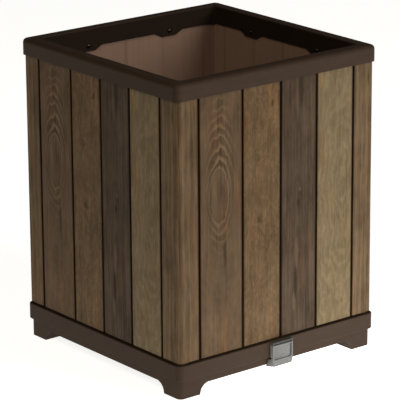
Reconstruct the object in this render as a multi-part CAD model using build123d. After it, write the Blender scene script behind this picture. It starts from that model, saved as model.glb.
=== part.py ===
from build123d import *
import math
import os

# Square patio planter of moulded resin: four wood-look corner panels under a one-piece rim, standing in a
# tub-shaped base on bracket feet, with a perforated false floor over a shallow water store and a drain tap.
# Frame: origin at the centre of the footprint on the ground, +Z up, front (the tap's side) towards -Y.
# All sizes are in millimetres.

# Overall
wall_width = 448.0          # across the board faces, the same both ways
total_height = 568.0        # ground to the rim's top face
wall_thickness = 18.0       # double wall, outer board face to inner face
wall_corner_radius = 8.0

# Boards moulded on each wall, from left to right seen from outside
left_corner_board = 46.0    # part of the corner board on the wall's left end
right_corner_board = 49.0   # part of the corner board on the wall's right end
board_shares = (97.0, 87.0, 83.0, 86.0)  # how the boards between the corner boards share the width
seam_joint = 2              # the joint, counted from the left, where two panels meet
joint_width = 4.0           # open joint between two boards
joint_depth = 3.0
joint_edge_radius = 1.2

# Panel moulding
outer_skin = 6.5
inner_skin = 2.5
web = 3.0                   # webs behind each joint and each board's middle
smallest_cell = 8.0
panel_gap = 0.3             # between two panels' ends
end_block = 14.0            # solid end that carries the tongue or its slot
tongue_length = 8.0
tongue_thickness = 4.0
tongue_clearance = 0.3
tenon_step = 4.0            # how far the panel's foot is set back from the board faces
shadow_gap = 3.5            # open line between the base's top edge and the boards
nut_relief = 30.0           # length of the notch beside each seam that leaves room for the tap's nut

# Rim
rim_wall = 3.0
rim_top = 5.0
rim_clearance = 1.0         # between the walls and the rim's skirts
rim_skirt = 30.0            # height of the outer skirt
rim_inner_skirt = 34.0
rim_corner_radius = 12.0
rim_edge_radius = 8.0
rim_inner_edge_radius = 3.0
rim_inner_corner_radius = 7.0
tab_drop = 8.5              # how far a screw tab hangs below the inner skirt
tab_top_width = 62.0
tab_foot_width = 30.0
tab_round = 6.0

# Base
band_bottom = 33.0          # ground to the band's lower edge; its top follows from the tap that it holds
band_edge_radius = 1.5
base_wall = 3.0
base_corner_radius = 12.0
base_lip_clearance = 0.5    # between the base's top lip and the panels' feet
skirt_inset = 5.0           # leg skirt behind the band
arch_height = 20.0          # ground to the leg skirt's lower edge
foot_width = 45.0
foot_shoulder = 24.0        # length of the curve from the foot to the leg skirt's lower edge
foot_side_height = 8.0
foot_side_slope = 2.0
seat_height = 12.0          # tub floor to the seats that carry the panels
seat_rib = 3.0
seat_nose = 4.0             # how far the seats reach in past the tabs
seat_positions = (40.0, 165.0)  # seats beside the pair behind each tab
seat_pair = 14.0            # from a tab's middle to each of its two seats
base_tab_width = 40.0
base_tab_gap = 1.0          # tab's top below the band's top
floor_rib_height = 10.0
floor_rib_spacing = 110.0

# Screws, the same for rim and base
screw_offset = 94.0         # from a wall's middle to each of its two screws
rim_screw_drop = 32.0       # rim top to screw axis
base_screw_drop = 8.0       # band's top to screw axis
screw_radius = 2.0
screw_length = 14.0
screw_head_radius = 4.5
screw_head_height = 2.6
screw_recess_width = 1.2
screw_recess_length = 5.0
screw_recess_depth = 1.2
pilot_clearance = 0.05
tab_hole_clearance = 0.25
screw_block = 10.0

# False floor and wicking cups
platform_height = 75.0      # ground to its underside
platform_thickness = 3.0
platform_clearance = 3.0    # to the walls
platform_rim = 8.0
platform_rim_wall = 2.5
platform_corner_radius = 8.0
leg_radius = 7.0
leg_wall = 2.0
leg_inset = 38.0            # outer legs' axes behind the false floor's edge
drain_hole_radius = 3.0
drain_hole_pitch = 33.0
cup_top_radius = 31.5
cup_foot_radius = 22.0
cup_wall = 2.0
cup_clearance = 0.5
cup_flange_radius = 36.0
cup_flange = 2.5
cup_floor_gap = 2.0
cup_slot_width = 4.0
cup_slot_height = 26.0
cup_slot_count = 8

# Drain tap
tap_x = 2.0
tap_width = 46.0
tap_depth = 8.0             # band face to the tap's foremost face
tap_plate = 2.2
tap_top_gap = 1.0           # below the band's top edge
hood_height = 3.0
cheek = 2.5
spout_overlap = 4.0         # band's lower edge to the spout's top
spout_drop = 16.0           # band's lower edge to the spout's mouth
spout_wall = 2.2
spout_flare = 7.0           # how much wider the spout is at the wall, each side, at its lower end
spout_taper = 3.0           # how much narrower it is at its front
spout_wall_gap = 0.3        # to the leg skirt
tube_radius = 6.0
outlet_radius = 4.0
tube_clearance = 0.2
tube_length = 12.0          # inside the tub
gasket_radius = 10.0
gasket_thickness = 2.0
nut_across_flats = 17.0
nut_thickness = 6.0
nut_floor_gap = 0.5
thread_clearance = 0.05
pin_radius = 1.0
pin_clearance = 0.05
pin_depth = 3.2             # tap plate's face to the pin's axis
knuckle_radius = 2.2
knuckle_hood_gap = 2.3
lever_side_gap = 0.4
lever_thickness = 1.8
lever_edge_gap = 0.8        # plate's face to the back of the lever's side edges
lever_bow = 2.4
lever_bead_radius = 1.5
lever_spout_gap = 1.1       # below the bead
thumb_ridge_width = 14.0
seal_radius = 5.5
seal_thickness = 2.0
seal_boss_radius = 6.2
seal_knuckle_gap = 0.5

# Worked-out places
half = wall_width / 2
inner_half = half - wall_thickness
rim_half = half + rim_clearance + rim_wall
opening_half = inner_half - rim_clearance - rim_wall
rim_under = total_height - rim_top
tub_floor = band_bottom + base_wall
nut_radius = nut_across_flats / math.sqrt(3)
outlet_height = tub_floor + nut_radius + nut_floor_gap
pin_height = outlet_height + seal_radius + seal_knuckle_gap + knuckle_radius
tap_top = pin_height + knuckle_radius + knuckle_hood_gap + hood_height
band_top = tap_top + tap_top_gap
spout_top = band_bottom - spout_overlap
spout_bottom = band_bottom - spout_drop
lever_bottom = spout_top + lever_spout_gap + lever_bead_radius
base_screw_height = band_top - base_screw_drop
seat_top = tub_floor + seat_height
shoulder = band_top + shadow_gap
tenon_half = half - tenon_step
base_half = rim_half
skirt_half = base_half - skirt_inset
base_lip = base_half - tenon_half - base_lip_clearance
screw_seat = opening_half   # the tabs' inner faces, where the screw heads rest
platform_edge = inner_half - platform_clearance
leg_reach = platform_edge - leg_inset
cup_offset = leg_reach / 2
tap_face = base_half + tap_plate
big = 4 * wall_width


def joint_places():
    """Places of a wall's board joints, from left to right, measured from the wall's middle."""
    middle = wall_width - left_corner_board - right_corner_board
    places = [-half + left_corner_board]
    for share in board_shares:
        places.append(places[-1] + middle * share / sum(board_shares))
    return places


joints = joint_places()
seam = joints[seam_joint]


def square(half_width, radius=0.0):
    if radius <= 0:
        return Rectangle(2 * half_width, 2 * half_width)
    return RectangleRounded(2 * half_width, 2 * half_width, radius)


def ring(outer, outer_radius, inner, inner_radius):
    return square(outer, outer_radius) - square(inner, inner_radius)


def slab(sketch, low, high):
    """A sketch on the ground plane drawn up from one height to another."""
    return extrude(Pos(0, 0, low) * sketch, high - low)


def block(x, y, z):
    """A box between two corners given as three (low, high) pairs."""
    centre = Pos((x[0] + x[1]) / 2, (y[0] + y[1]) / 2, (z[0] + z[1]) / 2)
    return centre * Box(x[1] - x[0], y[1] - y[0], z[1] - z[0])


def span(x, y):
    """A rectangle between two corners given as two (low, high) pairs."""
    return Pos((x[0] + x[1]) / 2, (y[0] + y[1]) / 2) * Rectangle(x[1] - x[0], y[1] - y[0])


def rod_y(radius, x, z, y_low, y_high):
    """A round bar along Y."""
    bar = Cylinder(radius, y_high - y_low, rotation=(90, 0, 0))
    return Pos(x, (y_low + y_high) / 2, z) * bar


def rod_x(radius, y, z, x_low, x_high):
    """A round bar along X."""
    bar = Cylinder(radius, x_high - x_low, rotation=(0, 90, 0))
    return Pos((x_low + x_high) / 2, y, z) * bar


def around(shapes):
    """Copies of what is drawn for the front side, on all four sides."""
    return [Rot(0, 0, 90 * turn) * shape for turn in range(4) for shape in shapes]


def save(name, shape):
    shape.label = name
    export_step(shape, f"parts/{name}.step")


# Corner panels -------------------------------------------------------------------------------------------

def free_spans(solid_spans, low, high):
    """What the solid spans leave free between two ends, without the cells that are too small to mould."""
    free = []
    place = low
    for start, end in sorted(solid_spans):
        if start - place >= smallest_cell:
            free.append((place, start))
        place = max(place, end)
    if high - place >= smallest_cell:
        free.append((place, high))
    return free


def arm_cells(low, high, board_joints, screw):
    """Hollow cells of one arm of a panel, along the wall."""
    edges = sorted([low, *board_joints, high])
    middles = [(a + b) / 2 for a, b in zip(edges, edges[1:])]
    solid = [(place - web / 2, place + web / 2) for place in board_joints + middles]
    solid.append((screw - screw_block / 2, screw + screw_block / 2))
    return free_spans(solid, low, high)


def corner_panel():
    """The panel round the front left corner. The other three are the same moulding, turned."""
    wall = ring(half, wall_corner_radius, inner_half, 0)
    front_end = seam - panel_gap / 2
    side_end = -seam - panel_gap / 2
    front_arm = span((-big, front_end), (-big, -inner_half))
    side_arm = span((-big, -inner_half), (-big, side_end))
    outline = wall & (front_arm + side_arm)

    tongue_middle = -(half + inner_half + 2) / 2
    tongue = span((front_end - 1, front_end + tongue_length),
                  (tongue_middle - tongue_thickness / 2, tongue_middle + tongue_thickness / 2))
    slot_half = tongue_thickness / 2 + tongue_clearance
    slot = span((tongue_middle - slot_half, tongue_middle + slot_half),
                (side_end - tongue_length - tongue_clearance - panel_gap, side_end + 1))

    front_joints = joints[:seam_joint]
    side_joints = [-place for place in joints[seam_joint + 1:]]
    grooves = [span((place - joint_width / 2, place + joint_width / 2), (-big, -half + joint_depth))
               for place in front_joints + [seam]]
    grooves += [span((-big, -half + joint_depth), (place - joint_width / 2, place + joint_width / 2))
                for place in side_joints + [-seam]]
    outline = outline - grooves
    edges_of_boards = [corner for corner in outline.vertices()
                       if (abs(corner.Y + half) < 0.01 and abs(corner.X) < half - wall_corner_radius - 0.1)
                       or (abs(corner.X + half) < 0.01 and abs(corner.Y) < half - wall_corner_radius - 0.1)]
    outline = fillet(edges_of_boards, joint_edge_radius)

    hollow = (-half + outer_skin, -inner_half - inner_skin)
    corner_end = -inner_half + inner_skin
    cells = [span(place, hollow)
             for place in arm_cells(corner_end, seam - end_block, front_joints, -screw_offset)]
    cells += [span(hollow, place)
              for place in arm_cells(corner_end, -seam - end_block, side_joints, -screw_offset)]
    outline = outline + tongue - slot - cells

    panel = slab(outline, seat_top, rim_under)
    panel -= slab(square(big / 2) - square(tenon_half, wall_corner_radius - tenon_step), seat_top, shoulder)
    relief = (seat_top, band_top - base_wall)
    panel -= block((front_end - nut_relief, big), (-big, 0), relief)
    panel -= block((-big, 0), (side_end - nut_relief, big), relief)

    depth = screw_seat + screw_length + 1
    pilots = []
    for height in (total_height - rim_screw_drop, base_screw_height):
        pilot = rod_y(screw_radius + pilot_clearance, -screw_offset, height, -depth, -inner_half + 1)
        pilots.append(pilot)
        pilots.append(Rot(0, 0, -90) * rod_y(screw_radius + pilot_clearance, screw_offset, height,
                                             -depth, -inner_half + 1))
    return panel - pilots


# Rim -----------------------------------------------------------------------------------------------------

def screw_tab():
    """A tab below the rim's inner skirt, on the front side and in the middle."""
    top = total_height - rim_inner_skirt
    corners = [(-tab_top_width / 2, top), (-tab_foot_width / 2, top - tab_drop),
               (tab_foot_width / 2, top - tab_drop), (tab_top_width / 2, top)]
    outline = make_face(Polyline(*corners, close=True))
    feet = outline.vertices().sort_by(Axis.Y)[:2]
    outline = fillet(feet, tab_round)
    outline += span((-tab_top_width / 2, tab_top_width / 2), (top, top + 2))
    return Pos(0, -opening_half, 0) * extrude(Plane.XZ * outline, rim_wall)


def rim():
    low = total_height - rim_inner_skirt
    body = slab(ring(rim_half, rim_corner_radius, opening_half, rim_inner_corner_radius), low, total_height)
    top = body.edges().filter_by_position(Axis.Z, total_height - 0.01, total_height + 0.01)
    middle = (rim_half + opening_half) / 2
    outer = [edge for edge in top if max(abs(edge.center().X), abs(edge.center().Y)) > middle]
    body = fillet(outer, rim_edge_radius)
    top = body.edges().filter_by_position(Axis.Z, total_height - 0.01, total_height + 0.01)
    inner = [edge for edge in top if max(abs(edge.center().X), abs(edge.center().Y)) < opening_half + 1]
    body = fillet(inner, rim_inner_edge_radius)

    channel_inner = inner_half - rim_clearance
    channel = ring(rim_half - rim_wall, rim_corner_radius - rim_wall,
                   channel_inner, rim_inner_corner_radius + rim_wall)
    body -= slab(channel, low - 1, rim_under)
    below = square(big / 2) - square(channel_inner, rim_inner_corner_radius + rim_wall)
    body -= slab(below, low - 1, total_height - rim_skirt)

    body += around([Pos(side * screw_offset, 0, 0) * screw_tab() for side in (-1, 1)])
    body -= around([rod_y(screw_radius + tab_hole_clearance, side * screw_offset,
                          total_height - rim_screw_drop, -channel_inner - 1, -opening_half + 1)
                    for side in (-1, 1)])
    return body


# Base ----------------------------------------------------------------------------------------------------

def arch():
    """The open outline between two feet, drawn on a side's plane, ground at the bottom."""
    foot = skirt_half - foot_width
    side_top = (foot - foot_side_slope, foot_side_height)
    shoulder_end = (foot - foot_shoulder, arch_height)
    bend = (foot - foot_side_slope - 0.3 * (foot_shoulder - foot_side_slope),
            foot_side_height + 0.68 * (arch_height - foot_side_height))
    right = Polyline((foot + 1, -1), (foot, 0), side_top) + ThreePointArc(side_top, bend, shoulder_end)
    left = mirror(right, Plane.YZ)
    top = Line(shoulder_end, (-shoulder_end[0], arch_height))
    bottom = Line((-foot - 1, -1), (foot + 1, -1))
    return make_face(Curve() + [*right.edges(), *left.edges(), top, bottom])


def base():
    outer = square(base_half, base_corner_radius)
    skirt_radius = base_corner_radius - skirt_inset / 2
    body = slab(outer, band_bottom, band_top)
    rims = [edge for height in (band_bottom, band_top)
            for edge in body.edges().filter_by_position(Axis.Z, height - 0.01, height + 0.01)]
    body = fillet(rims, band_edge_radius)
    wall_inner = base_half - base_wall
    body -= slab(square(wall_inner, base_corner_radius - base_wall), tub_floor, band_top - base_wall)
    lip_inner = base_half - base_lip
    body -= slab(square(lip_inner, wall_corner_radius - tenon_step), band_top - base_wall - 1, band_top + 1)

    skirt = slab(ring(skirt_half, skirt_radius, skirt_half - base_wall, skirt_radius - base_wall),
                 0, band_bottom)
    foot_inner = skirt_half - foot_width
    feet = []
    for turn in range(4):
        tube = span((-skirt_half + 1, -foot_inner), (-skirt_half + 1, -foot_inner))
        tube -= span((-skirt_half, -foot_inner - base_wall), (-skirt_half, -foot_inner - base_wall))
        feet.append(Rot(0, 0, 90 * turn) * slab(tube, 0, band_bottom))
    skirt = skirt + feet
    opening = extrude(Plane.XZ * arch(), big / 2, both=True)
    skirt = skirt - [opening, Rot(0, 0, 90) * opening]

    reach = skirt_half - base_wall / 2
    ribs = []
    for place in (-floor_rib_spacing, 0, floor_rib_spacing):
        rib = block((place - base_wall / 2, place + base_wall / 2), (-reach, reach),
                    (band_bottom - floor_rib_height, band_bottom))
        ribs += [rib, Rot(0, 0, 90) * rib]

    places = [*seat_positions, screw_offset - seat_pair, screw_offset + seat_pair]
    seats = [block((side * place - seat_rib / 2, side * place + seat_rib / 2),
                   (-wall_inner - 1, -opening_half + seat_nose), (tub_floor - 1, seat_top))
             for side in (-1, 1) for place in places]
    tab_outer = inner_half - rim_clearance
    tabs = [block((side * screw_offset - base_tab_width / 2, side * screw_offset + base_tab_width / 2),
                  (-tab_outer, -opening_half), (tub_floor - 1, band_top - base_tab_gap))
            for side in (-1, 1)]
    body = body + [skirt, *ribs, *around(seats + tabs)]
    body -= around([rod_y(screw_radius + tab_hole_clearance, side * screw_offset, base_screw_height,
                          -tab_outer - 1, -opening_half + 1) for side in (-1, 1)])
    return body - rod_y(tube_radius + tube_clearance, tap_x, outlet_height, -base_half - 1, -wall_inner + 1)


# Screws --------------------------------------------------------------------------------------------------

def screw(height):
    """A pan-head screw for the front side, in the wall's middle, driven outwards."""
    shank = rod_y(screw_radius, 0, height, -screw_seat - screw_length, -screw_seat)
    head = rod_y(screw_head_radius, 0, height, -screw_seat, -screw_seat + screw_head_height)
    crown = head.edges().group_by(Axis.Y)[-1]
    head = fillet(crown, screw_head_height * 0.6)
    face = -screw_seat + screw_head_height
    slots = []
    for along_x in (True, False):
        x = screw_recess_length if along_x else screw_recess_width
        z = screw_recess_width if along_x else screw_recess_length
        slots.append(block((-x / 2, x / 2), (face - screw_recess_depth, face + 1),
                           (height - z / 2, height + z / 2)))
    return shank + head - slots


def screws(height):
    one = screw(height)
    return Compound(children=around([Pos(side * screw_offset, 0, 0) * one for side in (-1, 1)]))


# False floor ---------------------------------------------------------------------------------------------

def cup_places():
    return [(sx * cup_offset, sy * cup_offset) for sx, sy in ((-1, -1), (1, -1), (1, 1), (-1, 1))]


def leg_places():
    steps = (-leg_reach, 0, leg_reach)
    return [(x, y) for x in steps for y in steps]


def drain_places(reach):
    """Drain holes on a square grid, kept off the cups, the legs and the edge."""
    count = int(reach / drain_hole_pitch)
    grid = [drain_hole_pitch * step for step in range(-count, count + 1)]
    places = []
    for x in grid:
        for y in grid:
            clear_cups = all(math.dist((x, y), cup) > cup_flange_radius + 2 * drain_hole_radius
                             for cup in cup_places())
            clear_legs = all(math.dist((x, y), leg) > leg_radius + 2 * drain_hole_radius
                             for leg in leg_places())
            if clear_cups and clear_legs:
                places.append((x, y))
    return places


def soil_platform():
    plate = square(platform_edge, platform_corner_radius)
    plate -= [Pos(x, y) * Circle(cup_top_radius + cup_clearance) for x, y in cup_places()]
    plate -= [Pos(x, y) * Circle(drain_hole_radius) for x, y in drain_places(platform_edge - 3 * drain_hole_radius)]
    body = slab(plate, platform_height, platform_height + platform_thickness)
    rim_ring = ring(platform_edge, platform_corner_radius, platform_edge - platform_rim_wall,
                    platform_corner_radius - platform_rim_wall)
    rim_wall_solid = slab(rim_ring, platform_height - platform_rim, platform_height)
    tube = Circle(leg_radius) - Circle(leg_radius - leg_wall)
    legs = [slab(Pos(x, y) * tube, tub_floor, platform_height) for x, y in leg_places()]
    return body + [rim_wall_solid, *legs]


def wick_cup():
    """A tapered cup that hangs by its flange in the false floor, drawn on the origin's axis."""
    seat = platform_height + platform_thickness
    low = tub_floor + cup_floor_gap
    outline = Polyline((0, low), (cup_foot_radius, low), (cup_top_radius, seat), (cup_flange_radius, seat),
                       (cup_flange_radius, seat + cup_flange), (cup_top_radius - cup_wall, seat + cup_flange),
                       (cup_foot_radius - cup_wall, low + cup_wall), (0, low + cup_wall), close=True)
    body = revolve(Plane.XZ * make_face(outline), Axis.Z)
    slots = [Rot(0, 0, 360 * step / cup_slot_count)
             * block((cup_foot_radius / 2, cup_top_radius + 1), (-cup_slot_width / 2, cup_slot_width / 2),
                     (low + 2 * cup_wall, low + 2 * cup_wall + cup_slot_height))
             for step in range(cup_slot_count)]
    return body - slots


# Drain tap -----------------------------------------------------------------------------------------------

def spout_section(height, wall_half, front_half, shrink):
    """A section of the spout: wide at the wall, narrow at the front."""
    back = -skirt_half - spout_wall_gap - shrink
    front = -base_half - tap_depth + shrink
    corners = [(tap_x - wall_half + shrink, back), (tap_x - front_half + shrink, front),
               (tap_x + front_half - shrink, front), (tap_x + wall_half - shrink, back)]
    return Pos(0, 0, height) * make_face(Polyline(*corners, close=True))


def spout_solid(shrink, extra):
    upper_half = tap_width / 2
    lower_wall_half = upper_half + spout_flare
    lower_front_half = upper_half - spout_taper
    upper = spout_section(spout_top + extra, upper_half, upper_half, shrink)
    lower = spout_section(spout_bottom - extra, lower_wall_half, lower_front_half, shrink)
    return loft([upper, lower], ruled=True)


def tap_body():
    left, right = tap_x - tap_width / 2, tap_x + tap_width / 2
    front = -base_half - tap_depth
    body = block((left, right), (-tap_face, -base_half), (band_bottom + 1, tap_top))
    hood = block((left, right), (front, -tap_face), (tap_top - hood_height, tap_top))
    cheeks = [block((low, low + cheek), (front, -tap_face), (spout_top, tap_top))
              for low in (left, right - cheek)]
    spout = spout_solid(0, 0) - spout_solid(spout_wall, 1)
    body = body + [hood, *cheeks, spout]
    tube_end = -base_half + base_wall + tube_length
    body += rod_y(tube_radius, tap_x, outlet_height, -base_half, tube_end)
    body -= rod_y(outlet_radius, tap_x, outlet_height, -tap_face - 1, tube_end + 1)
    return body - rod_x(pin_radius + pin_clearance, -tap_face - pin_depth, pin_height, left - 1, right + 1)


def bowed_line(depth):
    """The lever's plan curve, bowed outwards, at a depth behind its front."""
    reach = tap_width / 2 - cheek - lever_side_gap
    edge = -tap_face - lever_edge_gap - lever_thickness + depth
    return ThreePointArc((tap_x - reach, edge), (tap_x, edge - lever_bow), (tap_x + reach, edge))


def tap_lever():
    """The lever flap: a bowed plate under a hinge knuckle, with a bead along its foot and a thumb ridge."""
    reach = tap_width / 2 - cheek - lever_side_gap
    front_line = bowed_line(0)
    back_line = bowed_line(lever_thickness)
    outline = make_face(Curve() + [front_line, back_line,
                                   Line(front_line @ 0, back_line @ 0), Line(front_line @ 1, back_line @ 1)])
    flap = slab(outline, lever_bottom, pin_height)
    pin_y = -tap_face - pin_depth
    knuckle = rod_x(knuckle_radius, pin_y, pin_height, tap_x - reach, tap_x + reach)
    middle_line = Pos(0, 0, lever_bottom) * bowed_line(lever_thickness / 2)
    start = Plane(origin=middle_line @ 0, z_dir=middle_line % 0)
    bead = sweep(start * Circle(lever_bead_radius), path=middle_line)
    boss_back = -tap_face - seal_thickness
    boss = rod_y(seal_boss_radius, tap_x, outlet_height, pin_y - 0.2, boss_back)
    ridge_y = -tap_face - lever_edge_gap - lever_thickness - lever_bow
    ridge = rod_x(lever_bead_radius * 0.8, ridge_y + 0.6, lever_bottom + 4,
                  tap_x - thumb_ridge_width / 2, tap_x + thumb_ridge_width / 2)
    lever = flap + [knuckle, bead, boss, ridge]
    return lever - rod_x(pin_radius + pin_clearance, pin_y, pin_height, tap_x - big, tap_x + big)


def tap_hinge_pin():
    inset = 0.3
    return rod_x(pin_radius, -tap_face - pin_depth, pin_height,
                 tap_x - tap_width / 2 + inset, tap_x + tap_width / 2 - inset)


def tap_seal():
    return rod_y(seal_radius, tap_x, outlet_height, -tap_face - seal_thickness, -tap_face)


def tap_gasket():
    wall_inner = -base_half + base_wall
    return (rod_y(gasket_radius, tap_x, outlet_height, wall_inner, wall_inner + gasket_thickness)
            - rod_y(tube_radius + thread_clearance, tap_x, outlet_height, wall_inner - 1,
                    wall_inner + gasket_thickness + 1))


def tap_nut():
    start = -base_half + base_wall + gasket_thickness
    outline = RegularPolygon(nut_radius, 6) - Circle(tube_radius + thread_clearance)
    return Pos(tap_x, start, outlet_height) * extrude(Plane.XZ * outline, -nut_thickness)


# Build ---------------------------------------------------------------------------------------------------

os.makedirs("parts", exist_ok=True)

panel = corner_panel()
for turn, name in enumerate(("front_left", "front_right", "back_right", "back_left")):
    save(f"corner_panel_{name}", Rot(0, 0, 90 * turn) * panel)
save("rim", rim())
save("rim_screws", screws(total_height - rim_screw_drop))
save("base", base())
save("base_screws", screws(base_screw_height))
save("soil_platform", soil_platform())
cup = wick_cup()
for number, (x, y) in enumerate(cup_places(), start=1):
    save(f"wick_cup_{number}", Pos(x, y, 0) * cup)
save("tap_body", tap_body())
save("tap_lever", tap_lever())
save("tap_hinge_pin", tap_hinge_pin())
save("tap_seal", tap_seal())
save("tap_gasket", tap_gasket())
save("tap_nut", tap_nut())
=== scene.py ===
import math

import bpy
from bpy.props import FloatProperty, FloatVectorProperty, PointerProperty
from mathutils import Matrix, Vector


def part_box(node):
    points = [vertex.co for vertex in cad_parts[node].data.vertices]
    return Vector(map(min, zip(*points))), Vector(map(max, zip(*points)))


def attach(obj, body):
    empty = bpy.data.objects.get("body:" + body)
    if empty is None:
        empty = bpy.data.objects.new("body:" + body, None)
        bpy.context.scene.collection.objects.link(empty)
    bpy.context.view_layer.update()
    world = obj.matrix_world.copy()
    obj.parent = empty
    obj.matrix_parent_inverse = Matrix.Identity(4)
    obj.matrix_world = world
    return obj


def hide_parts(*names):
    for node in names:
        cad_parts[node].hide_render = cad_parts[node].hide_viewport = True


bl_info = {
    "name": "Square Wood-Look Planter",
    "version": (1, 0, 0),
    "blender": (4, 5, 0),
    "location": "3D View > Sidebar > Planter",
    "description": "Dresses the packed planter: grained panels, rim and base, screws, cups and drain tap",
    "category": "Object",
}

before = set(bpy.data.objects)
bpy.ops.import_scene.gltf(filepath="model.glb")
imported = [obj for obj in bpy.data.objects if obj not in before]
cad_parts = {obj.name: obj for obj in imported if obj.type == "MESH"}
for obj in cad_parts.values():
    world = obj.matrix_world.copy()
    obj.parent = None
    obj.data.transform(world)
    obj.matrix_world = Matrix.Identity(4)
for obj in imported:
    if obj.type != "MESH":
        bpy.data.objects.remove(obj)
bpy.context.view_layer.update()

MM = 0.001
WALL_HALF = -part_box("corner_panel_front_left")[0].x / MM
RIM_OPENING = 202.0         # from the axis to the rim's inner skirt, in millimetres
PANEL_TURNS = {"front_left": 0, "front_right": 90, "back_right": 180, "back_left": 270}

# How meshes are cleaned and shaded: doubles closer than MERGE_DISTANCE, in metres, are merged, faces that
# turn less than FLAT_ANGLE become one, and edges that turn more than the other angles stay sharp or are
# bevelled. The angles are in degrees.
MERGE_DISTANCE = 1e-6
FLAT_ANGLE, SMOOTH_ANGLE, BEVEL_ANGLE = 0.5, 35.0, 50.0

# Board joints along a wall, in millimetres from its middle, left to right seen from outside
JOINTS = (-178.0, -81.0, 6.0, 89.0, 175.0)
BOARD_STARTS = [0.0] + [(joint + WALL_HALF) / (2 * WALL_HALF) for joint in JOINTS]
BOARD_SKIN = 8.0            # past this depth the panel shows its plain inner resin
JOINT_TOP = (0.15, 0.8)     # depths between which the joint's own colour begins
SHADOW_REACH = (5.5, 2.0)   # from a joint's middle to where its shadow begins, and to where it is full
CORNER_BAND = 24.0          # no joint is cut within this of a wall's end

# The figure of each board, left to right: the middle of its growth rings (along the wall, up), how far
# apart the rings stand (along, up), how strongly rings and fibres show, how far the rings wander, and how
# much of their strength they keep outside the figured oval
BOARDS = (
    {"middle": (-330.0, 260.0), "pitch": (13.0, 400.0),
     "rings": 0.30, "fibres": 0.80, "wander": 1.2, "spread": 0.60},
    {"middle": (-134.0, 358.0), "pitch": (7.0, 17.0),
     "rings": 0.44, "fibres": 0.60, "wander": 2.1, "spread": 0.12},
    {"middle": (-20.0, -60.0), "pitch": (15.0, 52.0),
     "rings": 0.38, "fibres": 0.52, "wander": 5.2, "spread": 0.60},
    {"middle": (47.0, 20.0), "pitch": (7.0, 120.0),
     "rings": 0.25, "fibres": 0.82, "wander": 2.0, "spread": 0.60},
    {"middle": (150.0, 330.0), "pitch": (10.0, 54.0),
     "rings": 0.34, "fibres": 0.36, "wander": 3.4, "spread": 0.60},
    {"middle": (330.0, 300.0), "pitch": (12.0, 400.0),
     "rings": 0.30, "fibres": 0.80, "wander": 1.2, "spread": 0.60},
)
FIGURED_BOARD = 1

# A step between boards holds a value from 0 to 1, so places are kept as shares of REACH from its middle,
# the rings' wander as a share of WANDER_SCALE, and each board's number as a share of NUMBER_SCALE, which
# SEED_SCALE spreads into a seed of its own for each board's noise
REACH = 1000.0
WANDER_SCALE = 10.0
NUMBER_SCALE = 10
SEED_SCALE = 900.0

# The oval where the ringed eye is strongest: its middle (along, up), half width and half height
FIGURE = (-132.0, 395.0, 34.0, 165.0)
FIGURE_GAIN = 2.6           # how much stronger the rings are in the middle of that oval

# The blob round the plain middle of the eye: its half width and half height, and where in it the rings end
EYE = (22.5, 60.0)
EYE_EDGE = (0.16, 0.26)
EYE_TONE = 0.75             # how dark the plain middle is, from 0 to 1

# Knots, smudges and streaks: place along the wall and up, half width, half height, and darkness, which is
# negative for a light streak
MARKS = (
    (-121.0, 250.0, 5.0, 44.0, 0.75),
    (-131.0, 362.0, 9.0, 34.0, 0.25),
    (-42.0, 295.0, 9.0, 13.0, 0.55),
    (-46.0, 404.0, 9.0, 15.0, 0.50),
    (-14.0, 501.0, 4.0, 9.0, 0.95),
    (52.0, 525.0, 7.0, 66.0, 0.90),
    (50.0, 333.0, 4.5, 6.0, -0.80),
    (47.0, 308.0, 5.0, 9.0, 0.70),
    (43.0, 218.0, 5.0, 36.0, -1.20),
    (40.0, 165.0, 5.0, 36.0, 0.80),
    (37.0, 126.0, 4.5, 22.0, -1.20),
    (211.0, 508.0, 3.0, 17.0, 0.75),
)

# How a material's nodes are laid out in the editor
NODES_IN_ROW = 12
NODE_SPACING = (170, 240)

# The noise in the wood: changes per millimetre along and up and per unit of seed, detail and roughness
NOISES = {
    "sway": ((0.022, 0.011, 1), 1.0, 0.5),
    "ripple": ((0.085, 0.045, 1), 2.0, 0.5),
    "streaks": ((0.11, 0.0035, 1), 3.0, 0.6),
    "fibre": ((0.62, 0.009, 1), 2.0, 0.6),
    "pores": ((1.4, 0.045, 1), 2.0, 0.5),
    "clouds": ((0.030, 0.014, 1), 3.0, 0.6),
    "smudges": ((0.10, 0.035, 1), 2.0, 0.5),
    "warm": ((0.045, 0.007, 1), 2.0, 0.5),
    "olive": ((0.035, 0.009, 3), 2.0, 0.5),
}

# Colours that another colour is multiplied by
LIGHT_SIDE = (1.50, 1.48, 1.45, 1)
DARK_SIDE = (0.54, 0.50, 0.44, 1)
WARM_TINT = (1.20, 0.96, 0.80, 1)
OLIVE_TINT = (0.95, 1.0, 0.80, 1)
JOINT_SHADE = (0.30, 0.26, 0.22, 1)
INNER_SHADE = (0.55, 0.50, 0.46, 1)
# painted shade: darkens the rim's inner skirt inside the opening
OPENING_PAINTED_SHADE = (0.42, 0.42, 0.42, 1)
# painted shade: darkens the tap's bar above the lever
HOOD_PAINTED_SHADE = (0.26, 0.24, 0.21, 1)

# Where the lights stand, what they face, their size, in metres, and their colour
KEY = {"location": (1.6, -4.2, 2.1), "target": (0, 0, 0.35), "size": 2.2, "tint": (1.0, 0.985, 0.96)}
FILL = {"location": (-2.6, -1.8, 3.0), "target": (0, 0, 0.4), "size": 2.0, "tint": (1.0, 0.88, 0.70)}
SKY_TINT = (1.0, 0.99, 0.97, 1)

# The camera: how it is turned, in degrees, what it faces, how far it is moved sideways and up from there,
# in metres, and how its picture is shifted
CAMERA_YAW, CAMERA_PITCH, CAMERA_ROLL = -38.681, 16.761, -0.385
CAMERA_TARGET = (0, 0, 0.2742)
CAMERA_MOVE = (0.00393, 0.01796)
CAMERA_SHIFT = (-0.002, -0.0308)
CAMERA_CLIP = (0.1, 100.0)

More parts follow.
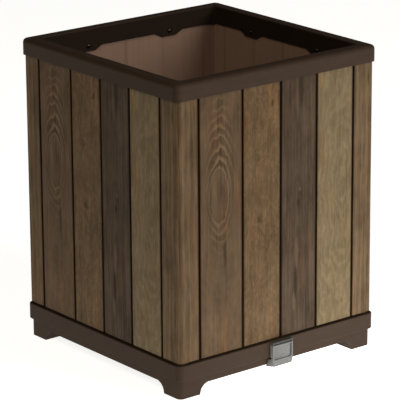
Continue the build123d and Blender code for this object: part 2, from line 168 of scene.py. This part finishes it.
# The floor, in metres, and its tones
FLOOR_SIZE = 60
FLOOR_DROP = 0.0002         # keeps the floor clear of the feet
FLOOR_TONES = ((0.80, 0.80, 0.79, 1), (0.84, 0.84, 0.83, 1))
FLOOR_GLOW_TINT = (1.0, 1.0, 0.985, 1)

# The floor's glow: along LEFT_AHEAD it falls from full at the second distance in GLOW_FALL to GLOW_REST at
# the first, and front_glow is added in an oval before the front, given by its middle, half width and half
# depth. The distances are in millimetres.
LEFT_AHEAD = (-0.85, -0.53)
GLOW_FALL = (680.0, 450.0)
GLOW_REST = 0.15
FRONT_OVAL = (120.0, -420.0, 480.0, 360.0)


def colour(name, description, default):
    """A colour the user may change, given in linear light."""
    return FloatVectorProperty(name=name, description=description, default=default, subtype="COLOR",
                               size=3, min=0.0, max=1.0)


class PlanterWood(bpy.types.PropertyGroup):
    """Colours of the wood-look boards, left to right on each wall."""

    left_corner: colour("Left corner board", "Middle colour of the board on a wall's left end",
                        (0.123, 0.081, 0.045))
    figured: colour("Figured board", "Middle colour of the board with the ringed eye",
                    (0.111, 0.072, 0.041))
    tan: colour("Tan board", "Middle colour of the mottled board", (0.126, 0.081, 0.042))
    grey: colour("Grey board", "Middle colour of the weathered board", (0.071, 0.049, 0.032))
    light: colour("Light board", "Middle colour of the lightest board", (0.184, 0.139, 0.081))
    right_corner: colour("Right corner board", "Middle colour of the board on a wall's right end",
                         (0.137, 0.092, 0.053))
    inside: colour("Inside", "Colour of the walls' plain inner faces", (0.285, 0.182, 0.130))
    joint: colour("Joint", "Colour inside the joints between boards", (0.020, 0.010, 0.004))
    grain: FloatProperty(name="Grain depth", description="Height of the moulded grain", default=0.00035,
                         min=0.0, max=0.002, subtype="DISTANCE", unit="LENGTH")


class PlanterResin(bpy.types.PropertyGroup):
    """Colours of the plain mouldings and small parts."""

    rim: colour("Rim and base", "Dark brown of the rim and the base", (0.056, 0.036, 0.024))
    inner: colour("Inner parts", "Black of the false floor and the cups", (0.030, 0.029, 0.027))
    tap: colour("Tap", "Milky grey of the tap", (0.195, 0.196, 0.192))
    steel: colour("Steel", "Blackened screws and hinge pin", (0.060, 0.058, 0.055))
    rubber: colour("Rubber", "Seal and gasket", (0.022, 0.021, 0.020))


def size(name, description, millimetres):
    """A length the user may change, given in millimetres."""
    return FloatProperty(name=name, description=description, default=millimetres * MM, min=0.0, max=0.1,
                         subtype="DISTANCE", unit="LENGTH", precision=4)


class PlanterShape(bpy.types.PropertyGroup):
    """Small sizes that finish the mouldings."""

    tap_edge: size("Tap edge", "Rounding of the tap's moulded edges", 0.4)
    screw_spread: size("Screw spread", "From a wall's middle to a screw", 94.0)
    screw_length: size("Screw length", "Under the head", 14.0)
    screw_radius: size("Screw radius", "Radius of the shank", 2.0)
    screw_head_radius: size("Screw head", "Radius of the head", 4.5)
    screw_head_height: size("Screw head height", "Height of the domed head", 2.6)
    recess_length: size("Recess length", "Length of each slot of the cross", 5.0)
    recess_width: size("Recess width", "Width of each slot of the cross", 1.2)
    recess_depth: size("Recess depth", "Depth of the cross in the head", 1.2)


class PlanterStage(bpy.types.PropertyGroup):
    """Light, floor and camera."""

    key: FloatProperty(name="Key light", description="Power of the large light at the front", default=98.0,
                       min=0.0, unit="POWER")
    fill: FloatProperty(name="Fill light", description="Power of the high soft light at the left",
                        default=38.0, min=0.0, unit="POWER")
    sky: FloatProperty(name="Sky", description="Strength of the even light all round", default=0.05,
                       min=0.0)
    floor_glow: FloatProperty(name="Floor glow", description="Light given off by the floor itself",
                              default=0.86, min=0.0)
    front_glow: FloatProperty(name="Front glow", description="Extra light from the floor before the front",
                              default=2.3, min=0.0)
    lens: FloatProperty(name="Lens", description="Focal length in millimetres", default=241.6, min=20.0)
    distance: FloatProperty(name="Camera distance", description="From the camera to the planter's axis",
                            default=4.901, min=1.0, subtype="DISTANCE", unit="LENGTH")


# Selecting and finishing ---------------------------------------------------------------------------------

def pick(*pieces):
    """Makes these the only selected objects, the first of them active."""
    bpy.ops.object.select_all(action="DESELECT")
    for piece in pieces:
        piece.select_set(True)
    bpy.context.view_layer.objects.active = pieces[0]


def apply_modifier(piece, kind, **settings):
    """Puts a modifier of this kind on a piece and applies it."""
    pick(piece)
    bpy.ops.object.modifier_add(type=kind)
    modifier = piece.modifiers[-1]
    for key, value in settings.items():
        setattr(modifier, key, value)
    bpy.ops.object.modifier_apply(modifier=modifier.name)


def smooth(piece):
    """Smooth shading up to an angle, with flat faces kept flat."""
    pick(piece)
    bpy.ops.object.shade_smooth_by_angle(angle=math.radians(SMOOTH_ANGLE))
    apply_modifier(piece, "WEIGHTED_NORMAL", keep_sharp=True, weight=90)


def copy_of(node, name):
    """A copy of a CAD mesh with its loose triangles merged into whole faces."""
    piece = bpy.data.objects.new(name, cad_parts[node].data.copy())
    piece.data.name = name
    piece.data.materials.clear()
    bpy.context.scene.collection.objects.link(piece)
    pick(piece)
    bpy.ops.object.mode_set(mode="EDIT")
    bpy.ops.mesh.select_all(action="SELECT")
    bpy.ops.mesh.remove_doubles(threshold=MERGE_DISTANCE)
    bpy.ops.mesh.dissolve_limited(angle_limit=math.radians(FLAT_ANGLE))
    bpy.ops.object.mode_set(mode="OBJECT")
    return piece


def place(piece, material, body, slot, *nodes):
    """Gives a finished piece its material, its body and the CAD nodes it stands for."""
    piece.data.materials.clear()
    piece.data.materials.append(material)
    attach(piece, body)
    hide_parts(*nodes)


# Materials -----------------------------------------------------------------------------------------------

class Graph:
    """A material's nodes, made in order, with short ways to write sums, steps and noise."""

    def __init__(self, name):
        self.material = bpy.data.materials.new(name)
        self.material.use_nodes = True
        self.tree = self.material.node_tree
        self.tree.nodes.clear()

    def node(self, kind, inputs=None, **settings):
        made = self.tree.nodes.new("ShaderNode" + kind)
        row, column = divmod(len(self.tree.nodes), NODES_IN_ROW)
        made.location = (column * NODE_SPACING[0], -row * NODE_SPACING[1])
        for key, value in settings.items():
            setattr(made, key, value)
        for key, value in (inputs or {}).items():
            self.feed(made.inputs[key], value)
        return made

    def feed(self, socket, value):
        if isinstance(value, bpy.types.NodeSocket):
            self.tree.links.new(value, socket)
        else:
            socket.default_value = value

    def math(self, operation, a, b=0.0, clamp=False):
        return self.node("Math", {0: a, 1: b}, operation=operation, use_clamp=clamp).outputs[0]

    def add(self, *terms):
        total = terms[0]
        for term in terms[1:]:
            total = self.math("ADD", total, term)
        return total

    def subtract(self, a, b):
        return self.math("SUBTRACT", a, b)

    def times(self, a, b):
        return self.math("MULTIPLY", a, b)

    def limited(self, value):
        """A value kept from 0 to 1."""
        return self.math("ADD", value, 0.0, clamp=True)

    def between(self, value, low, high):
        """How far a value has come from low to high, eased, from 0 to 1."""
        return self.node("MapRange", {"Value": value, "From Min": low, "From Max": high},
                         interpolation_type="SMOOTHSTEP").outputs["Result"]

    def stretch(self, vector, scale, shift=(0, 0, 0)):
        return self.node("Mapping", {"Vector": vector, "Scale": scale, "Location": shift}).outputs[0]

    def blob(self, face, along, up, half_width, half_height):
        """An oval on a wall's face: 1 in its middle, falling to 0 at its edge."""
        spot = self.stretch(face, (1 / half_width, 1 / half_height, 1),
                            (-along / half_width, -up / half_height, 0))
        return self.node("TexGradient", {"Vector": spot}, gradient_type="SPHERICAL").outputs["Fac"]

    def noise(self, vector, scale, detail=2.0, roughness=0.5):
        """Noise round zero, stretched as the scale's three numbers say."""
        made = self.node("TexNoise", {"Vector": self.stretch(vector, scale), "Scale": 1.0,
                                      "Detail": detail, "Roughness": roughness})
        return self.subtract(made.outputs["Fac"], 0.5)

    def steps(self, share, places, values):
        """Values that change by steps: each holds from its place on."""
        ramp = self.node("ValToRGB", {"Fac": share})
        ramp.color_ramp.interpolation = "CONSTANT"
        elements = ramp.color_ramp.elements
        for position in places[1:-1]:
            elements.new(position)
        elements[-1].position = places[-1]
        for element, value in zip(elements, values):
            element.color = (*value, 1.0)
        return ramp.outputs["Color"]

    def split(self, vector):
        return self.node("SeparateXYZ", {"Vector": vector}).outputs

    def mix(self, share, a, b, blend="MIX"):
        made = self.node("Mix", data_type="RGBA", blend_type=blend)
        for socket, value in ((made.inputs[0], share), (made.inputs[6], a), (made.inputs[7], b)):
            self.feed(socket, value)
        return made.outputs[2]

    def mix_values(self, share, a, b):
        """As mix, for plain numbers."""
        return self.node("Mix", {0: share, 2: a, 3: b}, data_type="FLOAT").outputs[0]

    def tint(self, share, base, tint):
        """A colour multiplied by a tint, by this share."""
        return self.mix(share, base, tint, "MULTIPLY")

    def millimetres(self, turn=0.0):
        """The piece's own coordinates in millimetres, turned round the planter's axis."""
        source = self.node("TexCoord").outputs["Object"]
        scaled = {"Vector": source, "Scale": (1 / MM,) * 3, "Rotation": (0, 0, math.radians(turn))}
        return self.node("Mapping", scaled).outputs[0]

    def bump(self, height, distance, strength=1.0):
        return self.node("Bump", {"Height": height, "Distance": distance, "Strength": strength}).outputs[0]

    def finish(self, **inputs):
        """The material, its shader given these inputs, whose names have underscores for spaces."""
        named = {key.replace("_", " "): value for key, value in inputs.items()}
        shader = self.node("BsdfPrincipled", named)
        self.node("OutputMaterial", {"Surface": shader.outputs[0]})
        return self.material


def opaque(value):
    """A colour of three numbers made one of four."""
    return (*value, 1.0)


class WallGraph(Graph):
    """Nodes for one corner panel, with places along, up and into its walls as on the front left one."""

    def __init__(self, name, turn):
        super().__init__(name)
        x, y, self.up = self.split(self.millimetres(-turn))
        on_front = self.math("GREATER_THAN", x, y)
        self.along = self.subtract(self.times(on_front, self.add(x, y)), y)
        self.depth = self.add(self.math("MINIMUM", x, y), WALL_HALF)
        self.face = self.node("CombineXYZ", {"X": self.along, "Y": self.up}).outputs[0]
        self.share = self.math("DIVIDE", self.add(self.along, WALL_HALF), 2 * WALL_HALF)

        self.middle_along, self.middle_up, number = self.by_board(
            (*(0.5 + place / REACH for place in board["middle"]), order / NUMBER_SCALE)
            for order, board in enumerate(BOARDS))
        self.pitch_along, self.pitch_up, self.ring_strength = self.by_board(
            (*(1 / gap for gap in board["pitch"]), board["rings"]) for board in BOARDS)
        self.fibre_strength, self.ring_wander, self.ring_spread = self.by_board(
            (board["fibres"], board["wander"] / WANDER_SCALE, board["spread"]) for board in BOARDS)

        seed = self.times(number, SEED_SCALE)
        grain_place = self.node("CombineXYZ", {"X": self.along, "Y": self.up, "Z": seed}).outputs[0]
        self.grain = {kind: self.noise(grain_place, *values) for kind, values in NOISES.items()}
        self.pores = self.between(self.grain["pores"], 0.13, 0.22)

    def by_board(self, rows):
        """Three values that each hold over a board and change at the joints."""
        return self.split(self.steps(self.share, BOARD_STARTS, list(rows)))

    def rings_from(self, place, middle, rings_per_millimetre):
        """How many rings lie between a place and the middle of the board's rings, one way."""
        middle_place = self.times(self.subtract(middle, 0.5), REACH)
        return self.times(self.subtract(place, middle_place), rings_per_millimetre)

    def rings(self):
        """Growth rings, dark where positive: each darkens slowly outwards and ends sharply."""
        across = self.rings_from(self.along, self.middle_along, self.pitch_along)
        upward = self.rings_from(self.up, self.middle_up, self.pitch_up)
        place = self.node("CombineXYZ", {"X": across, "Y": upward}).outputs[0]
        distance = self.node("VectorMath", {0: place}, operation="LENGTH").outputs["Value"]
        wander = self.add(self.grain["sway"], self.times(self.grain["ripple"], 0.6))
        wander = self.times(self.times(wander, WANDER_SCALE), self.ring_wander)
        through = self.math("FRACT", self.add(distance, wander))
        dark = self.times(self.between(through, 0.05, 0.45), self.between(through, 1.0, 0.86))
        in_eye = self.blob(self.face, *BOARDS[FIGURED_BOARD]["middle"], *EYE)
        dark = self.mix_values(self.between(in_eye, *EYE_EDGE), dark, EYE_TONE)
        figure = self.times(self.blob(self.face, *FIGURE), FIGURE_GAIN)
        strength = self.times(self.ring_strength, self.add(self.ring_spread, figure))
        return self.times(self.subtract(dark, 0.6), strength)

    def marks(self):
        """Knots, smudges and streaks, dark where positive."""
        return self.add(*(self.times(self.blob(self.face, *place), darkness) for *place, darkness in MARKS))

    def shade(self, rings):
        """How dark the boards are, from 0 on their light side to 1 on their dark side."""
        lengthwise = self.add(self.times(self.grain["streaks"], 1.5), self.times(self.grain["fibre"], 1.3))
        fibres = self.times(lengthwise, self.fibre_strength)
        clouds = self.times(self.grain["clouds"], self.add(0.4, self.fibre_strength))
        smudges = self.times(self.grain["smudges"], 0.4)
        pores = self.times(self.pores, 0.12)
        return self.limited(self.add(0.5, rings, fibres, pores, clouds, smudges, self.marks()))

    def joint_shadow(self):
        """How far the nearest joint shades a board's edge."""
        to_joint = WALL_HALF
        for joint in JOINTS:
            away = self.math("ABSOLUTE", self.subtract(self.along, joint))
            to_joint = self.math("MINIMUM", to_joint, away)
        return self.times(self.between(to_joint, *SHADOW_REACH), 0.75)

    def in_joint(self):
        """1 on the sides and the bottom of a joint between boards."""
        deep = self.times(self.between(self.depth, *JOINT_TOP),
                          self.between(self.depth, BOARD_SKIN, BOARD_SKIN - 2))
        off_corner = self.math("LESS_THAN", self.math("ABSOLUTE", self.along), WALL_HALF - CORNER_BAND)
        return self.times(deep, off_corner)

    def boards(self, finish, shade, shadow):
        """The boards' colour on their outer side."""
        tones = (finish.left_corner, finish.figured, finish.tan, finish.grey, finish.light,
                 finish.right_corner)
        tone = self.steps(self.share, BOARD_STARTS, [tuple(tone) for tone in tones])
        board = self.mix(shade, self.tint(1.0, tone, LIGHT_SIDE), self.tint(1.0, tone, DARK_SIDE))
        warm = self.between(self.grain["warm"], -0.02, 0.22)
        board = self.tint(self.times(warm, 0.55), board, WARM_TINT)
        olive = self.between(self.grain["olive"], 0.0, 0.16)
        board = self.tint(self.times(olive, 0.25), board, OLIVE_TINT)
        return self.tint(shadow, board, JOINT_SHADE)

    def inner_wall(self, finish, shadow):
        """The plain colour of a panel's inner side, faintly streaked and shaded at the joints."""
        streaked = self.add(0.5, self.times(self.grain["streaks"], 0.9),
                            self.times(self.grain["fibre"], 0.35))
        inside = self.mix(self.limited(streaked), opaque(c * 1.12 for c in finish.inside),
                          opaque(c * 0.88 for c in finish.inside))
        return self.tint(self.times(shadow, 0.3), inside, INNER_SHADE)


def wood(name, turn, finish):
    """Wood-look resin of one corner panel, drawn for the front left one and turned with the others."""
    g = WallGraph(name, turn)
    rings, shadow = g.rings(), g.joint_shadow()
    shade = g.shade(rings)
    surface = g.mix(g.between(g.depth, BOARD_SKIN - 1, BOARD_SKIN), g.boards(finish, shade, shadow),
                    g.inner_wall(finish, shadow))
    surface = g.mix(g.in_joint(), surface, opaque(finish.joint))
    relief = g.add(g.times(rings, -0.5), g.times(g.grain["fibre"], -0.9), g.times(g.pores, -0.5))
    roughness = g.add(0.56, g.times(g.grain["fibre"], 0.25), g.times(shade, 0.08))
    return g.finish(Base_Color=surface, Roughness=roughness, Specular_IOR_Level=0.09,
                    Normal=g.bump(relief, finish.grain, 0.8))


def resin(name, base, roughness=0.5, grain=0.00012, cell=1.3, mottle=0.10, matt_and_shade_inside=0.0,
          shaded_above=0.0, **extra):
    """Moulded resin: a fine cast texture, faint flow marks and clouds, satin gloss.
    Within matt_and_shade_inside of the planter's axis it is rougher and darkened by painted shade, and
    above shaded_above it is darkened by painted shade. Both are in millimetres."""
    g = Graph(name)
    spot = g.millimetres()
    cast = g.node("TexVoronoi", {"Vector": spot, "Scale": 1 / cell, "Smoothness": 1.0},
                  feature="SMOOTH_F1").outputs["Distance"]
    fine = g.noise(spot, (2.5, 2.5, 2.5), 2.0)
    clouds = g.noise(spot, (0.035, 0.035, 0.05), 3.0)
    flow = g.noise(spot, (0.02, 0.02, 0.4), 2.0)
    shade = g.limited(g.add(0.5, clouds, g.times(flow, 0.8), g.times(fine, 0.5)))
    tone = g.mix(shade, opaque(c * (1 - mottle * 1.6) for c in base),
                 opaque(c * (1 + mottle) for c in base))
    gloss = g.add(roughness, g.times(clouds, 0.16), g.times(fine, 0.12))
    # painted shade: inside the opening the colour is darkened, and the surface is also made rougher
    if matt_and_shade_inside:
        matt_and_shade = unpolished_and_shaded(g, spot, matt_and_shade_inside)
        tone = g.tint(matt_and_shade, tone, OPENING_PAINTED_SHADE)
        gloss = g.add(gloss, g.times(matt_and_shade, 0.25))
    # painted shade on the tap's bar above the lever
    if shaded_above:
        tone = g.tint(painted_shade_above(g, spot, fine, shaded_above), tone, HOOD_PAINTED_SHADE)
    relief = g.add(g.times(cast, 0.8), g.times(fine, 0.5))
    return g.finish(Base_Color=tone, Roughness=gloss, Specular_IOR_Level=0.06, Normal=g.bump(relief, grain),
                    **extra)


def unpolished_and_shaded(g, spot, reach):
    """Painted shade and roughness: 1 within a square of this half width round the planter's axis, 0 outside
    it.
    """
    x, y = g.split(spot)[:2]
    away = g.math("MAXIMUM", g.math("ABSOLUTE", x), g.math("ABSOLUTE", y))
    return g.between(away, reach + 1.2, reach)


def painted_shade_above(g, spot, fine, level):
    """How much painted shade a place gets: none below this level, with an uneven edge."""
    height = g.add(g.split(spot)[2], g.times(fine, 1.5))
    return g.times(g.between(height, level - 1.5, level + 0.5), 0.8)


def tap_resin(finish):
    """Milky grey resin that lets a little light in, with painted shade on the bar above the lever."""
    return resin("tap_resin", finish.tap, roughness=0.42, grain=0.00004, cell=1.0, mottle=0.06,
                 shaded_above=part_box("tap_lever")[1].z / MM, Subsurface_Weight=0.25,
                 Subsurface_Radius=(0.004, 0.004, 0.0035), Subsurface_Scale=1.0)


def steel(name, base):
    """Plated steel with fine turning marks and a little dulling."""
    g = Graph(name)
    spot = g.millimetres()
    marks = g.noise(spot, (6.0, 6.0, 6.0), 2.0)
    dull = g.noise(spot, (0.7, 0.7, 0.7), 3.0)
    tone = g.mix(g.between(dull, -0.1, 0.25), opaque(base), opaque(c * 0.6 for c in base))
    return g.finish(Base_Color=tone, Metallic=1.0, Roughness=g.add(0.34, g.times(dull, 0.4)),
                    Normal=g.bump(marks, 0.00003))


# Operators -----------------------------------------------------------------------------------------------

class PLANTER_OT_panels(bpy.types.Operator):
    """The four corner panels, each with its boards' grain"""

    bl_idname = "planter.panels"
    bl_label = "Corner panels"

    def execute(self, context):
        for corner, turn in PANEL_TURNS.items():
            node = f"corner_panel_{corner}"
            piece = copy_of(node, f"panel_{corner}")
            smooth(piece)
            material = wood(f"wood_look_{corner}", turn, context.scene.planter_wood)
            place(piece, material, "planter", "wood_look_resin", node)
        return {"FINISHED"}


class PLANTER_OT_rim(bpy.types.Operator):
    """The one-piece rim with its skirts and screw tabs"""

    bl_idname = "planter.rim"
    bl_label = "Rim"

    def execute(self, context):
        piece = copy_of("rim", "rim_moulding")
        smooth(piece)
        finish = context.scene.planter_resin
        # the rim's inner skirt gets painted shade and a rougher surface
        material = resin("rim_resin", finish.rim, matt_and_shade_inside=RIM_OPENING)
        place(piece, material, "planter", "rim_resin", "rim")
        return {"FINISHED"}


class PLANTER_OT_base(bpy.types.Operator):
    """The tub-shaped base on its bracket feet"""

    bl_idname = "planter.base"
    bl_label = "Base"

    def execute(self, context):
        piece = copy_of("base", "base_moulding")
        smooth(piece)
        finish = context.scene.planter_resin
        place(piece, resin("base_resin", finish.rim), "planter", "rim_resin", "base")
        return {"FINISHED"}


class PLANTER_OT_inner(bpy.types.Operator):
    """The false floor and the four wicking cups under it"""

    bl_idname = "planter.inner"
    bl_label = "False floor and cups"

    def execute(self, context):
        finish = context.scene.planter_resin
        material = resin("inner_resin", finish.inner, roughness=0.58)
        piece = copy_of("soil_platform", "false_floor")
        smooth(piece)
        place(piece, material, "planter", "inner_resin", "soil_platform")
        for number in range(1, 5):
            cup = copy_of(f"wick_cup_{number}", f"cup_{number}")
            smooth(cup)
            place(cup, material, "planter", "inner_resin", f"wick_cup_{number}")
        return {"FINISHED"}


class PLANTER_OT_screws(bpy.types.Operator):
    """The cross-head screws that hold the rim and the base to the panels"""

    bl_idname = "planter.screws"
    bl_label = "Screws"

    def execute(self, context):
        shape = context.scene.planter_shape
        material = steel("screw_steel", context.scene.planter_resin.steel)
        model = self.screw(shape)
        for node in ("rim_screws", "base_screws"):
            low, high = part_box(node)
            reach, height = high.x, (low.z + high.z) / 2
            seat = reach - shape.screw_length
            copies = []
            for quarter in range(4):
                turn = Matrix.Rotation(quarter * math.pi / 2, 4, "Z")
                for side in (-1, 1):
                    pick(model)
                    bpy.ops.object.duplicate()
                    copy = context.active_object
                    spot = Vector((side * shape.screw_spread, -seat, height))
                    copy.data.transform(turn @ Matrix.Translation(spot))
                    copies.append(copy)
            pick(*copies)
            bpy.ops.object.join()
            piece = copies[0]
            piece.name = piece.data.name = f"{node}_set"
            place(piece, material, "planter", "screw_steel", node)
        pick(model)
        bpy.ops.object.delete()
        return {"FINISHED"}

    def screw(self, shape):
        """One screw, its seat at the origin, its point towards the front and its head behind."""
        head_radius, length = shape.screw_head_radius, shape.screw_length
        bpy.ops.mesh.primitive_uv_sphere_add(segments=40, ring_count=24, radius=head_radius)
        screw = bpy.context.active_object
        pick(screw)
        bpy.ops.object.mode_set(mode="EDIT")
        bpy.ops.mesh.select_all(action="SELECT")
        bpy.ops.mesh.bisect(plane_co=(0, 0, 0), plane_no=(0, 1, 0), clear_inner=True, use_fill=True)
        bpy.ops.mesh.select_all(action="SELECT")
        bpy.ops.transform.resize(value=(1, shape.screw_head_height / head_radius, 1))
        bpy.ops.object.mode_set(mode="OBJECT")

        overlap = shape.screw_head_height / 4
        bpy.ops.mesh.primitive_cylinder_add(vertices=32, radius=shape.screw_radius, depth=length + overlap,
                                            location=(0, (overlap - length) / 2, 0),
                                            rotation=(math.pi / 2, 0, 0))
        self.combine(screw, bpy.context.active_object, "UNION")
        for turn in (0, math.pi / 2):
            bpy.ops.mesh.primitive_cube_add(
                size=1, location=(0, shape.screw_head_height, 0), rotation=(0, turn, 0),
                scale=(shape.recess_width, 2 * shape.recess_depth, shape.recess_length))
            self.combine(screw, bpy.context.active_object, "DIFFERENCE")
        smooth(screw)
        return screw

    def combine(self, piece, tool, operation):
        """Adds a tool's shape to a piece, or takes it away, and removes the tool."""
        apply_modifier(piece, "BOOLEAN", object=tool, operation=operation, solver="EXACT")
        pick(tool)
        bpy.ops.object.delete()


class PLANTER_OT_tap(bpy.types.Operator):
    """The drain tap"""

    bl_idname = "planter.tap"
    bl_label = "Drain tap"

    def execute(self, context):
        finish = context.scene.planter_resin
        milky = tap_resin(finish)
        rubber = resin("seal_rubber", finish.rubber, roughness=0.72, grain=0.00005, cell=0.8)
        metal = steel("pin_steel", finish.steel)
        rows = (("tap_body", "planter", milky, "tap_resin"), ("tap_lever", "lever", milky, "tap_resin"),
                ("tap_nut", "planter", milky, "tap_resin"), ("tap_seal", "lever", rubber, "seal_rubber"),
                ("tap_gasket", "planter", rubber, "seal_rubber"),
                ("tap_hinge_pin", "planter", metal, "screw_steel"))
        for node, body, material, slot in rows:
            piece = copy_of(node, f"{node}_moulding")
            if node in ("tap_body", "tap_lever"):
                apply_modifier(piece, "BEVEL", width=context.scene.planter_shape.tap_edge, segments=3,
                               limit_method="ANGLE", angle_limit=math.radians(BEVEL_ANGLE))
            smooth(piece)
            place(piece, material, body, slot, node)
        return {"FINISHED"}


class PLANTER_OT_stage(bpy.types.Operator):
    """Floor, soft light and camera"""

    bl_idname = "planter.stage"
    bl_label = "Stage"

    def execute(self, context):
        stage = context.scene.planter_stage
        self.floor(context, stage)
        self.sky(context, stage)
        self.light("key", stage.key, **KEY)
        self.light("fill", stage.fill, **FILL)
        self.camera(context, stage)
        context.scene.view_settings.view_transform = "Standard"
        return {"FINISHED"}

    def floor(self, context, stage):
        """A plain pale floor that glows near the planter, most of all before its front."""
        bpy.ops.object.select_all(action="DESELECT")
        bpy.ops.mesh.primitive_plane_add(size=FLOOR_SIZE, location=(0, 0, -FLOOR_DROP))
        floor = context.active_object
        floor.name = "floor"
        g = Graph("pale_floor")
        spot = g.millimetres()
        clouds = g.noise(spot, (0.004, 0.004, 0.004), 3.0)
        tone = g.mix(g.add(0.5, clouds), *FLOOR_TONES)
        x, y = g.split(spot)[:2]
        ahead = g.add(g.times(x, LEFT_AHEAD[0]), g.times(y, LEFT_AHEAD[1]))
        near = g.add(GLOW_REST, g.times(g.between(ahead, *GLOW_FALL), 1 - GLOW_REST))
        before_front = g.blob(g.node("CombineXYZ", {"X": x, "Y": y}).outputs[0], *FRONT_OVAL)
        glow = g.times(g.add(near, g.times(before_front, stage.front_glow)), stage.floor_glow)
        floor.data.materials.append(g.finish(Base_Color=tone, Roughness=0.9, Specular_IOR_Level=0.1,
                                             Emission_Color=FLOOR_GLOW_TINT, Emission_Strength=glow))

    def sky(self, context, stage):
        """Even, faintly warm light from all round."""
        world = bpy.data.worlds.new("soft_sky")
        world.use_nodes = True
        background = world.node_tree.nodes["Background"]
        background.inputs["Color"].default_value = SKY_TINT
        background.inputs["Strength"].default_value = stage.sky
        context.scene.world = world

    def light(self, name, power, location, target, size, tint):
        """A round soft light that faces its target."""
        bpy.ops.object.light_add(type="AREA", location=location)
        lamp = bpy.context.active_object
        lamp.name = name
        lamp.rotation_euler = (Vector(target) - Vector(location)).to_track_quat("-Z", "Y").to_euler()
        lamp.data.shape = "DISK"
        lamp.data.size = size
        lamp.data.energy = power
        lamp.data.color = tint

    def camera(self, context, stage):
        """Looks down at the corner between the front and the left wall."""
        yaw, pitch, roll = (math.radians(angle) for angle in (CAMERA_YAW, CAMERA_PITCH, CAMERA_ROLL))
        back = Vector((math.sin(yaw) * math.cos(pitch), -math.cos(yaw) * math.cos(pitch), math.sin(pitch)))
        level_right = Vector((math.cos(yaw), math.sin(yaw), 0))
        level_up = back.cross(level_right)
        right = math.cos(roll) * level_right + math.sin(roll) * level_up
        up = math.cos(roll) * level_up - math.sin(roll) * level_right
        moved = CAMERA_MOVE[0] * right + CAMERA_MOVE[1] * up
        location = Vector(CAMERA_TARGET) + stage.distance * back + moved
        bpy.ops.object.camera_add()
        camera = context.active_object
        turned = Matrix((right, up, back)).transposed().to_4x4()
        camera.matrix_world = Matrix.Translation(location) @ turned
        camera.data.lens = stage.lens
        camera.data.shift_x, camera.data.shift_y = CAMERA_SHIFT
        camera.data.clip_start, camera.data.clip_end = CAMERA_CLIP
        context.scene.camera = camera


class PLANTER_PT_sidebar(bpy.types.Panel):
    """Buttons for the planter's pieces, in the order they are made"""

    bl_idname = "PLANTER_PT_sidebar"
    bl_label = "Planter"
    bl_space_type = "VIEW_3D"
    bl_region_type = "UI"
    bl_category = "Planter"

    def draw(self, context):
        for operator in OPERATORS:
            self.layout.operator(operator.bl_idname)


OPERATORS = (PLANTER_OT_panels, PLANTER_OT_rim, PLANTER_OT_base, PLANTER_OT_inner, PLANTER_OT_screws,
             PLANTER_OT_tap, PLANTER_OT_stage)
GROUPS = {"planter_wood": PlanterWood, "planter_resin": PlanterResin, "planter_shape": PlanterShape,
          "planter_stage": PlanterStage}


def register():
    for group in GROUPS.values():
        bpy.utils.register_class(group)
    for name, group in GROUPS.items():
        setattr(bpy.types.Scene, name, PointerProperty(type=group))
    for operator in OPERATORS:
        bpy.utils.register_class(operator)
    bpy.utils.register_class(PLANTER_PT_sidebar)


def unregister():
    bpy.utils.unregister_class(PLANTER_PT_sidebar)
    for operator in reversed(OPERATORS):
        bpy.utils.unregister_class(operator)
    for name in GROUPS:
        delattr(bpy.types.Scene, name)
    for group in reversed(GROUPS.values()):
        bpy.utils.unregister_class(group)


def main():
    register()
    for operator in OPERATORS:
        section, name = operator.bl_idname.split(".")
        getattr(getattr(bpy.ops, section), name)()


if __name__ == "__main__":
    main()
